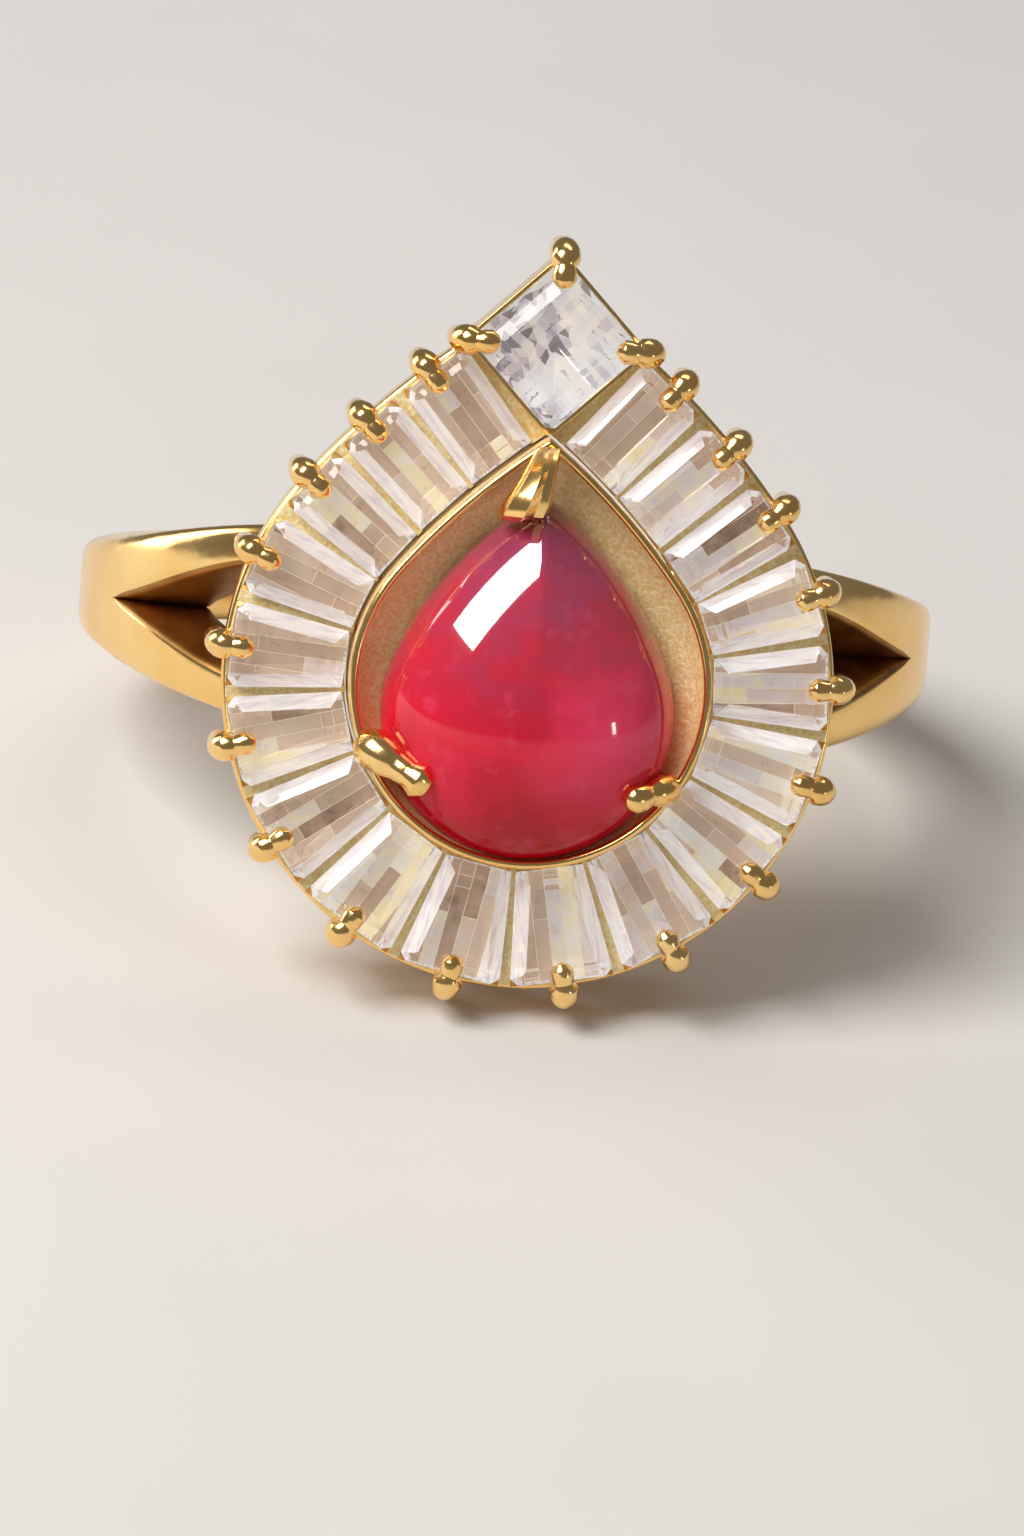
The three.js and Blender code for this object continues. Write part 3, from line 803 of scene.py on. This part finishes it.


# The long facets beside the table stand steeply; their colour is painted reflection, streaks of white
# and mauve, and they glow faintly with painted light.
def painted_side_sheen():
    side = Finish("painted_side_sheen")
    place = side.node("UVMap", {"uv_map": CUT_MAP})
    long_place = side.node("VectorMath", {"operation": "MULTIPLY"}, {0: place, 1: (0.7, 5, 1)})
    streaks = side.noise(2.0, 3, 0.5, long_place)
    colour = side.ramp(
        streaks, (0.35, (0.80, 0.75, 0.84)), (0.5, (0.97, 0.96, 0.99)), (0.6, (1.0, 1.0, 1.0)),
    )
    side.surface(
        Base_Color=colour, Roughness=0.03 + 0.1 * streaks, IOR=CLEAR_INDEX, Transmission_Weight=0.5,
        Emission_Color=colour, Emission_Strength=PAINTED_RETURN_GLOW / 2,
    )
    return side.material


# The finishes of a tapered stone by their places in its list, after the clear one.
PAINTED_STREAKS, PAINTED_PANELS, PAINTED_GLINT, SIDE = 1, 2, 3, 4
SIDE_LEAN = 0.5  # a long side facet's normal leans further than this across the stone


def choose_sides(stone):
    for face in stone.data.polygons:
        in_crown = face.normal.z > 0.3
        if in_crown and abs(face.normal.y) > SIDE_LEAN:
            face.material_index = SIDE


EDGE_GLINT = 0.028  # width of the white line, a painted highlight, along each facet edge


def bevel_glint_edges(stone, edge_index):
    apply_modifier(
        stone, "BEVEL", width=EDGE_GLINT, segments=1, limit_method="ANGLE", angle_limit=math.radians(8),
        material=edge_index,
    )
    weld(stone, 0.0008)


FLAT = -0.6  # a facet whose normal points further down than this is one of the flatter ones


def choose_backs(stone, steep_index, flat_index):
    for face in stone.data.polygons:
        below_girdle = face.normal.z < -0.05
        if below_girdle:
            face.material_index = flat_index if face.normal.z < FLAT else steep_index


# The facets over or under one edge of a stone, given a point on its girdle and which way the edge faces.
def step_facets(edge, facing, level, steps, up):
    facets = []
    point = Vector((edge[0], edge[1], level))
    facing = Vector((facing[0], facing[1], 0)).normalized()
    for inset, rise in steps:
        facets.append((point.copy(), Vector((facing.x * rise, facing.y * rise, up * inset))))
        point -= facing * inset
        point.z += up * rise
    return facets


ROUGH_SPARE = 0.1  # how far the rough stands past the finished stone on each side


# The stone of a slot on the left side.
def tapered_stone(slot):
    inner = STONE_START
    outer = STONE_START + STONE_LONG
    half_in = slot_half(slot, inner) - BAR_GAP_IN
    half_out = slot_half(slot, outer) - BAR_GAP_OUT
    slope = (half_out - half_in) / STONE_LONG
    keel = STONE_LEDGE - sum(drop for inset, drop in KEEL_STEPS)
    edges = [((inner, 0), (-1, 0)), ((outer, 0), (1, 0))]
    for s in (-1, 1):
        spare = tip_spare(slot) if s < 0 else 0
        edges.append(((inner, s * (half_in + spare)), (-slope, s)))
        edges.append(((outer - CORNER_CUT, s * (half_out + spare)), (1, s)))
    half_out += tip_spare(slot)
    facets = []
    for edge, facing in edges:
        facets.append(((*edge, 0), (*facing, 0)))
        facets += step_facets(edge, facing, STONE_GIRDLE, CROWN_STEPS, 1)
        facets += step_facets(edge, facing, STONE_LEDGE, KEEL_STEPS, -1)
    low = (inner - ROUGH_SPARE, -half_out - ROUGH_SPARE, keel)
    high = (outer + ROUGH_SPARE, half_out + ROUGH_SPARE, STONE_TABLE)
    return cut_block(f"fine_baguette_left_{slot['number']}", low, high, facets)


# A copy of a pattern, with a mesh of its own.
def copy_of(pattern, name):
    twin = pattern.copy()
    twin.data = pattern.data.copy()
    twin.name = name
    bpy.context.collection.objects.link(twin)
    return twin


clear = clear_stone()
glint_finish = painted_glint_edge()
stone_finishes = [clear, painted_streak_back(), painted_panel_back(), glint_finish, painted_side_sheen()]
PATTERN_STEP = 4.1  # moves each stone's streaks and panels on, so that no two pairs look alike
for slot in slots:
    left = tapered_stone(slot)
    choose_backs(left, PAINTED_STREAKS, PAINTED_PANELS)
    choose_sides(left)
    bevel_glint_edges(left, PAINTED_GLINT)
    right = copy_of(left, f"fine_baguette_right_{slot['number']}")
    right.data.transform(Matrix.Diagonal((1, -1, 1, 1)))
    right.data.flip_normals()
    for place, hand, stone in (("left", -1, left), ("right", 1, right)):
        node = f"baguette_{place}_{slot['number']}"
        map_cut(stone, slot["number"] * PATTERN_STEP + hand)
        stone.data.transform(slot_place(slot, hand))
        set_in_frame(stone, node, "clear_stone", *stone_finishes, soft_angle=1)


# ---- square stone ----
# A clear princess-cut stone, set corner up in the square seat and held by three claws: a square
# table, sloping crown facets, and chevron facets below that run from each corner to the tip.

SQUARE_TABLE = 12.5
SQUARE_GIRDLE = 12.1
SQUARE_CORNER_CUT = 0.12
SQUARE_CORNER_STEP = [(0.5, 0.36)]
SQUARE_KEEL = 10.6
SQUARE_CROWN = [(0.26, 0.26), (0.31, 0.14)]
SQUARE_LEDGE = 11.98
SQUARE_CHEVRONS = [(8, 1.376), (20, 0.78), (34, 0.62)]  # [turn from the side, fall over run]
PAINTED_SHARDS, SQUARE_PAINTED_GLINT = 1, 2  # its finishes, after the clear one


# Its many small facets are painted with reflections: two sets of white, silver and grey shards cross
# each other, and glow faintly with painted light.
def painted_shard_back():
    back = Finish("painted_shard_back")
    place = back.node("UVMap", {"uv_map": CUT_MAP})
    shards = []
    for stretch in ((1.0, 2.6, 1), (2.6, 1.0, 1)):
        long_place = back.node("VectorMath", {"operation": "MULTIPLY"}, {0: place, 1: stretch})
        inputs = {"Vector": long_place, "Scale": 1.7, "Randomness": 1.0}
        shards.append(back.node("TexVoronoi", {"feature": "F1"}, inputs, output=1))
    shade = 0.5 * shards[0] + 0.5 * shards[1]
    colour = back.ramp(
        shade, (0.24, (0.34, 0.30, 0.32)), (0.32, (0.70, 0.67, 0.74)), (0.44, (0.93, 0.92, 0.95)),
        (0.56, (1.0, 1.0, 1.0)),
    )
    back.surface(
        Base_Color=colour, Metallic=0.3, Roughness=0.12 + 0.15 * shade,
        Emission_Color=colour, Emission_Strength=PAINTED_RETURN_GLOW,
    )
    return back.material


facets = []
for quarter in range(4):
    facing = Vector((math.cos(quarter * math.pi / 2), math.sin(quarter * math.pi / 2), 0))
    across = Vector((-facing.y, facing.x, 0))
    facets += step_facets(facing * half, facing, SQUARE_GIRDLE, SQUARE_CROWN, 1)
    corner_facing = (facing + across).normalized()
    corner_point = corner_facing * (half * math.sqrt(2) - SQUARE_CORNER_CUT)
    facets += step_facets(corner_point, corner_facing, SQUARE_GIRDLE, SQUARE_CORNER_STEP, 1)
    facets.append((corner_point, corner_facing))
    for turn, fall in SQUARE_CHEVRONS:
        for hand in (-1, 1):
            angle = math.radians(turn) * hand
            way = facing * math.cos(angle) + across * math.sin(angle)
            corner = (facing + across * hand) * half
            corner.z = SQUARE_LEDGE
            facets.append((corner, Vector((way.x * fall, way.y * fall, -1))))
low = (-half, -half, SQUARE_KEEL)
princess = cut_block("fine_princess_stone", low, (half, half, SQUARE_TABLE), facets)
choose_backs(princess, PAINTED_SHARDS, PAINTED_SHARDS)
bevel_glint_edges(princess, SQUARE_PAINTED_GLINT)
map_cut(princess, 0)
princess.data.transform(corner_up)
set_in_frame(princess, "princess_stone", "clear_stone", clear, painted_shard_back(), glint_finish, soft_angle=1)


# ---- wire claws ----
# Eighteen short gold wires soldered round the halo seat and three round the square seat. Each is
# bent over its stone and burnished down, which leaves a soft lobe over the bend and a bead on the end.

CLAW_FOOT = 10.45
CLAW_OUT = 3.2


# A claw of round wire along [distance out, height, radius] stations.
def wire_claw(name, stations):
    bpy.ops.object.select_all(action="DESELECT")
    bpy.ops.curve.primitive_bezier_curve_add()
    claw = bpy.context.object
    claw.name = name
    curve = claw.data
    curve.splines.clear()
    line = curve.splines.new("BEZIER")
    line.bezier_points.add(len(stations) - 1)
    for point, (out, height, radius) in zip(line.bezier_points, stations):
        point.co = (out, 0, height)
        point.radius = radius
        point.handle_left_type = "AUTO"
        point.handle_right_type = "AUTO"
    curve.dimensions = "3D"
    curve.bevel_depth = 1
    curve.bevel_resolution = 6
    curve.resolution_u = 10
    curve.use_fill_caps = True
    use_only(claw)
    bpy.ops.object.convert(target="MESH")
    claw = bpy.context.object
    weld(claw, 0.0005)
    return claw


halo_claw = wire_claw("fine_halo_claw", [
    (0.08, CLAW_FOOT, 0.27), (0.08, 11.6, 0.28), (0.06, 11.95, 0.32), (-0.04, 12.2, 0.37),
    (-0.16, 12.34, 0.36), (-0.34, 12.42, 0.25), (-0.48, 12.44, 0.28), (-0.62, 12.44, 0.29),
    (-0.76, 12.42, 0.2), (-0.83, 12.40, 0.03),
])
for slot in slots:
    for place, side in (("left", -1), ("right", 1)):
        claw = copy_of(halo_claw, f"fine_halo_claw_{place}_{slot['number']}")
        claw.data.transform(slot_place(slot, side, CLAW_OUT))
        set_in_frame(claw, f"halo_claw_{place}_{slot['number']}", "gold", gold, soft_angle=60)
bpy.data.objects.remove(halo_claw)

square_claw = wire_claw("fine_princess_claw", [
    (0.24, CLAW_FOOT, 0.27), (0.24, 11.7, 0.28), (0.22, 12.05, 0.33), (0.12, 12.4, 0.38),
    (-0.02, 12.6, 0.37), (-0.2, 12.7, 0.26), (-0.34, 12.74, 0.29), (-0.5, 12.74, 0.3),
    (-0.64, 12.72, 0.2), (-0.71, 12.7, 0.03),
])
reach = SQUARE_SIDE * math.sqrt(0.5)
for place, x, y in (("top", 0, 1), ("left", -1, 0), ("right", 1, 0)):
    claw = copy_of(square_claw, f"fine_princess_claw_{place}")
    foot = Matrix.Translation((x * reach, y * reach + SQUARE_CENTRE, 0))
    claw.data.transform(foot @ Matrix.Rotation(math.atan2(y, x), 4, "Z"))
    set_in_frame(claw, f"princess_claw_{place}", "gold", gold, soft_angle=60)
bpy.data.objects.remove(square_claw)


# ---- centre stone ----
# A high pear-shaped ruby cabochon, polished smooth and set down in the collet under three claws. Its
# body is cloudy and a deep crimson, with a painted glow: a pinker patch standing in for light gathered
# low on the right.

RUBY_RADIUS = 3.6
RUBY_HEIGHT = 5.4
RUBY_POINT_NORMAL = 57
RUBY_DROP = 0.7
RUBY_MIDDLE = 0.6
RUBY_GIRDLE = 12.0
RUBY_DOME = 2.35
RUBY_BASE = [(0.12, 0.35), (0.4, 0.95)]  # [share drawn in, drop below the girdle]
RUBY_LOW = -4.92  # where its colours begin, and how far they run towards the point
RUBY_LONG = 8.9
RUBY_GLOW = (2.0, -1.7, 13.6)
RUBY_GLOW_REACH = 0.0026  # in metres, as the finish measures
DOME_STEPS = 32


def ruby_red():
    ruby = Finish("ruby")
    place = ruby.place()
    clouds = ruby.noise(560, 5, 0.6, place)
    veins = ruby.noise(1300, 6, 0.7, place)
    point_way = ring_to_frame.to_3x3() @ Vector((0, 1, 0)) / MILLIMETRE ** 2
    start = ring_to_frame @ Vector((0, RUBY_LOW, RUBY_GIRDLE))
    from_start = ruby.node("VectorMath", {"operation": "SUBTRACT"}, {0: place, 1: start})
    up = ruby.node("VectorMath", {"operation": "DOT_PRODUCT"}, {0: from_start, 1: point_way}, output=1)
    along = up * (1 / RUBY_LONG)
    glow_place = ring_to_frame @ Vector(RUBY_GLOW)
    reach = ruby.node("VectorMath", {"operation": "DISTANCE"}, {0: place, 1: glow_place}, output=1)
    body = ruby.ramp(
        along + 0.9 * (clouds - 0.5),
        (0.08, (0.50, 0.002, 0.014)), (0.34, (0.76, 0.010, 0.040)), (0.55, (0.62, 0.014, 0.045)),
        (0.8, (0.42, 0.040, 0.105)), (0.95, (0.34, 0.030, 0.085)),
    )
    # A painted glow: the body turns pinker near a point low on the right, as if light gathered there.
    glow = ruby.ramp(reach * (1 / RUBY_GLOW_REACH) + 1.2 * (clouds - 0.5), (0.15, 1.0), (1.0, 0.0))
    lit = ruby.between(glow, body, (1.0, 0.055, 0.15, 1))
    milk = ruby.ramp(veins, (0.56, 0.0), (0.75, 1.0))
    ruby.surface(
        Base_Color=ruby.between(milk * 0.45, lit, (0.85, 0.10, 0.22, 1)),
        Roughness=0.08 + 0.05 * veins,
        IOR=1.3,
        Transmission_Weight=0.08,
        Coat_Weight=ruby.ramp(along, (0.3, 0.1), (0.62, 1.0)),
        Coat_IOR=2.0,
        Coat_Roughness=0.01,
    )
    return ruby.material


ruby_pear = Pear(RUBY_RADIUS, RUBY_HEIGHT, RUBY_POINT_NORMAL, PEAR_CENTRE - RUBY_DROP)
ruby_middle = Vector((0, ruby_pear.centre + RUBY_MIDDLE, 0))


# Draws the last loop in towards the middle and up or down, and leaves it selected.
def draw_in(kept, new_kept, rise):
    bpy.ops.mesh.extrude_region_move(TRANSFORM_OT_translate={"value": (0, 0, rise)})
    scale = new_kept / kept
    bpy.ops.transform.resize(value=(scale, scale, 1), center_override=ruby_middle)


def select_level(piece, level):
    bpy.ops.mesh.select_all(action="DESELECT")
    bpy.ops.object.mode_set(mode="OBJECT")
    for vertex in piece.data.vertices:
        vertex.select = abs(vertex.co.z - level) < 0.0001
    bpy.ops.object.mode_set(mode="EDIT")
    bpy.ops.mesh.select_mode(type="VERT")


ruby = pear_swept("fine_ruby_cabochon", ruby_pear, [(0, RUBY_GIRDLE)], 72, 28)
use_only(ruby)
bpy.ops.object.mode_set(mode="EDIT")
bpy.ops.mesh.select_all(action="SELECT")
kept = 1
height = 0
for i in range(1, DOME_STEPS):
    lift = i / DOME_STEPS * math.pi / 2
    draw_in(kept, math.cos(lift), RUBY_DOME * math.sin(lift) - height)
    kept = math.cos(lift)
    height = RUBY_DOME * math.sin(lift)
bpy.ops.mesh.extrude_region_move(TRANSFORM_OT_translate={"value": (0, 0, RUBY_DOME - height)})
bpy.ops.mesh.merge(type="CENTER")
select_level(ruby, RUBY_GIRDLE)
kept = 1
height = 0
for share, drop in RUBY_BASE:
    draw_in(kept, 1 - share, height - drop)
    kept = 1 - share
    height = drop
bpy.ops.mesh.edge_face_add()
bpy.ops.object.mode_set(mode="OBJECT")
weld(ruby)
set_in_frame(ruby, "ruby_cabochon", "ruby", ruby_red(), soft_angle=50)


# ---- centre claws ----
# Three gold claws soldered to the collet hold the cabochon: a folded strip at the point, a lumpy
# finger on the left and a shorter finger ending in a double bead on the right.

LEFT_CLAW = [
    (-0.55, 11.2, 0.32), (-0.5, 12.2, 0.44), (-0.55, 12.62, 0.53), (-0.85, 12.86, 0.48),
    (-1.2, 13.02, 0.38), (-1.52, 13.19, 0.34), (-1.8, 13.26, 0.46), (-2.06, 13.27, 0.31),
    (-2.17, 13.26, 0.03),
]
RIGHT_CLAW = [
    (-0.4, 11.2, 0.3), (-0.38, 12.3, 0.34), (-0.46, 12.7, 0.39), (-0.68, 12.95, 0.37),
    (-0.88, 13.08, 0.28), (-1.08, 13.2, 0.35), (-1.28, 13.28, 0.36), (-1.46, 13.28, 0.24),
    (-1.54, 13.27, 0.03),
]
for place, side, normal, turn, stations in (
    ("left", -1, -20, 49, LEFT_CLAW), ("right", 1, -28, 45, RIGHT_CLAW),
):
    claw = wire_claw(f"fine_centre_claw_{place}", stations)
    facing = math.radians(normal + turn)
    facing = facing if side > 0 else math.pi - facing
    foot = pear.at(math.radians(normal), 0, side)
    claw.data.transform(Matrix.Translation(foot) @ Matrix.Rotation(facing, 4, "Z"))
    set_in_frame(claw, f"centre_claw_{place}", "gold", gold, soft_angle=60)

POINT_Y = PEAR_CENTRE + PEAR_HEIGHT
FOLD = [(-0.4, -0.2), (-0.3, 0.0), (0.0, 0.16), (0.16, 0.0), (0.32, -0.02), (0.4, -0.24)]
FOLD_PLACES = [  # [distance back from the collet's point, height, width over that of the first fold]
    (0.2, 12.7, 0.75), (0.5, 13.05, 0.85), (0.85, 13.35, 1.0), (1.25, 13.5, 1.25), (1.6, 13.5, 1.5),
    (1.9, 13.38, 1.55), (2.04, 13.12, 1.4),
]
FOLD_LEAN = 0.34  # it leans to the left as it comes down over the stone
STRIP_THICK = 0.34
strip = drawn_wire("fine_centre_claw_point", [
    (x * FOLD_PLACES[0][2], POINT_Y - FOLD_PLACES[0][0], FOLD_PLACES[0][1] + z) for x, z in FOLD
])
use_only(strip)
bpy.ops.object.mode_set(mode="EDIT")
bpy.ops.mesh.select_all(action="SELECT")
for before, after in zip(FOLD_PLACES, FOLD_PLACES[1:]):
    step = Vector((0, before[0] - after[0], after[1] - before[1]))
    step.x = FOLD_LEAN * step.y
    bpy.ops.mesh.extrude_region_move(TRANSFORM_OT_translate={"value": step})
    middle = Vector((FOLD_LEAN * (FOLD_PLACES[0][0] - after[0]), POINT_Y - after[0], after[1]))
    scale = after[2] / before[2]
    bpy.ops.transform.resize(value=(scale, 1, scale), center_override=middle)
bpy.ops.mesh.select_all(action="SELECT")
bpy.ops.mesh.normals_make_consistent(inside=False)
bpy.ops.object.mode_set(mode="OBJECT")
apply_modifier(strip, "SOLIDIFY", thickness=STRIP_THICK, offset=-1)
soften_edges(strip, 0.06, 3, 25)
weld(strip)
set_in_frame(strip, "centre_claw_point", "gold", gold, soft_angle=30)


# ---- floor, lights and camera ----
# A plain pale floor, four soft boxes with a pale studio round them, and a long lens that looks at the
# stones from a little above.

floor_finish = Finish("floor")
shades = floor_finish.noise(40, 4)
floor_finish.surface(
    Base_Color=floor_finish.ramp(shades, (0.3, (0.66, 0.64, 0.62)), (0.7, (0.70, 0.68, 0.66))),
    Roughness=0.7,
)
bpy.ops.object.select_all(action="DESELECT")
bpy.ops.mesh.primitive_plane_add(size=2)
floor = bpy.context.object
floor.name = "floor"
floor.data.materials.append(floor_finish.material)


# The way from the head to something at an azimuth from the front and an elevation, in degrees.
def way_to(azimuth, elevation):
    a = math.radians(azimuth)
    e = math.radians(elevation)
    return Vector((math.sin(a) * math.cos(e), -math.cos(a) * math.cos(e), math.sin(e)))


LIGHT_DISTANCE = 0.3


def soft_box(name, azimuth, elevation, size, power, colour):
    light = bpy.data.lights.new(name, "AREA")
    light.shape = "RECTANGLE"
    light.size = size[0]
    light.size_y = size[1]
    light.energy = power
    light.color = colour
    box = bpy.data.objects.new(name, light)
    bpy.context.scene.collection.objects.link(box)
    away = way_to(azimuth, elevation)
    box.location = head_middle + away * LIGHT_DISTANCE
    box.rotation_euler = away.to_track_quat("Z", "Y").to_euler()


head_middle = ring_to_frame @ Vector((0, 0, 12))
soft_box("main_light", -66, 51, (0.17, 0.19), 1.05, (1.0, 0.98, 0.95))
soft_box("fill_light", 50, 2, (0.014, 0.03), 0.02, (1.0, 0.97, 0.94))
soft_box("side_light", -122, 12, (0.12, 0.2), 0.3, (1.0, 0.98, 0.95))
soft_box("back_light", 160, 60, (0.2, 0.08), 0.12, (1.0, 0.98, 0.96))

world = bpy.data.worlds.new("studio")
bpy.context.scene.world = world
world.use_nodes = True
studio = world.node_tree.nodes["Background"]
studio.inputs["Color"].default_value = (0.8, 0.77, 0.75, 1)
studio.inputs["Strength"].default_value = 0.22
bpy.context.scene.view_settings.view_transform = "Standard"

CAMERA_AZIMUTH = -4
CAMERA_ELEVATION = 25
CAMERA_ROLL = 6
CAMERA_DISTANCE = 0.2
PICTURE_HEIGHT = 37.5
SENSOR = 36
look_at = ring_to_frame @ Vector((-0.26, -2.78, 12))
lens = bpy.data.cameras.new("camera")
lens.sensor_fit = "VERTICAL"
lens.sensor_height = SENSOR
lens.lens = SENSOR * CAMERA_DISTANCE / (PICTURE_HEIGHT * MILLIMETRE)
lens.clip_start = 0.001
camera = bpy.data.objects.new("camera", lens)
bpy.context.scene.collection.objects.link(camera)
back = way_to(CAMERA_AZIMUTH, CAMERA_ELEVATION)
aim = back.to_track_quat("Z", "Y").to_matrix().to_4x4()
camera.matrix_world = (
    Matrix.Translation(look_at + back * CAMERA_DISTANCE)
    @ aim
    @ Matrix.Rotation(math.radians(CAMERA_ROLL), 4, "Z")
)
bpy.context.scene.camera = camera

bpy.context.view_layer.update()
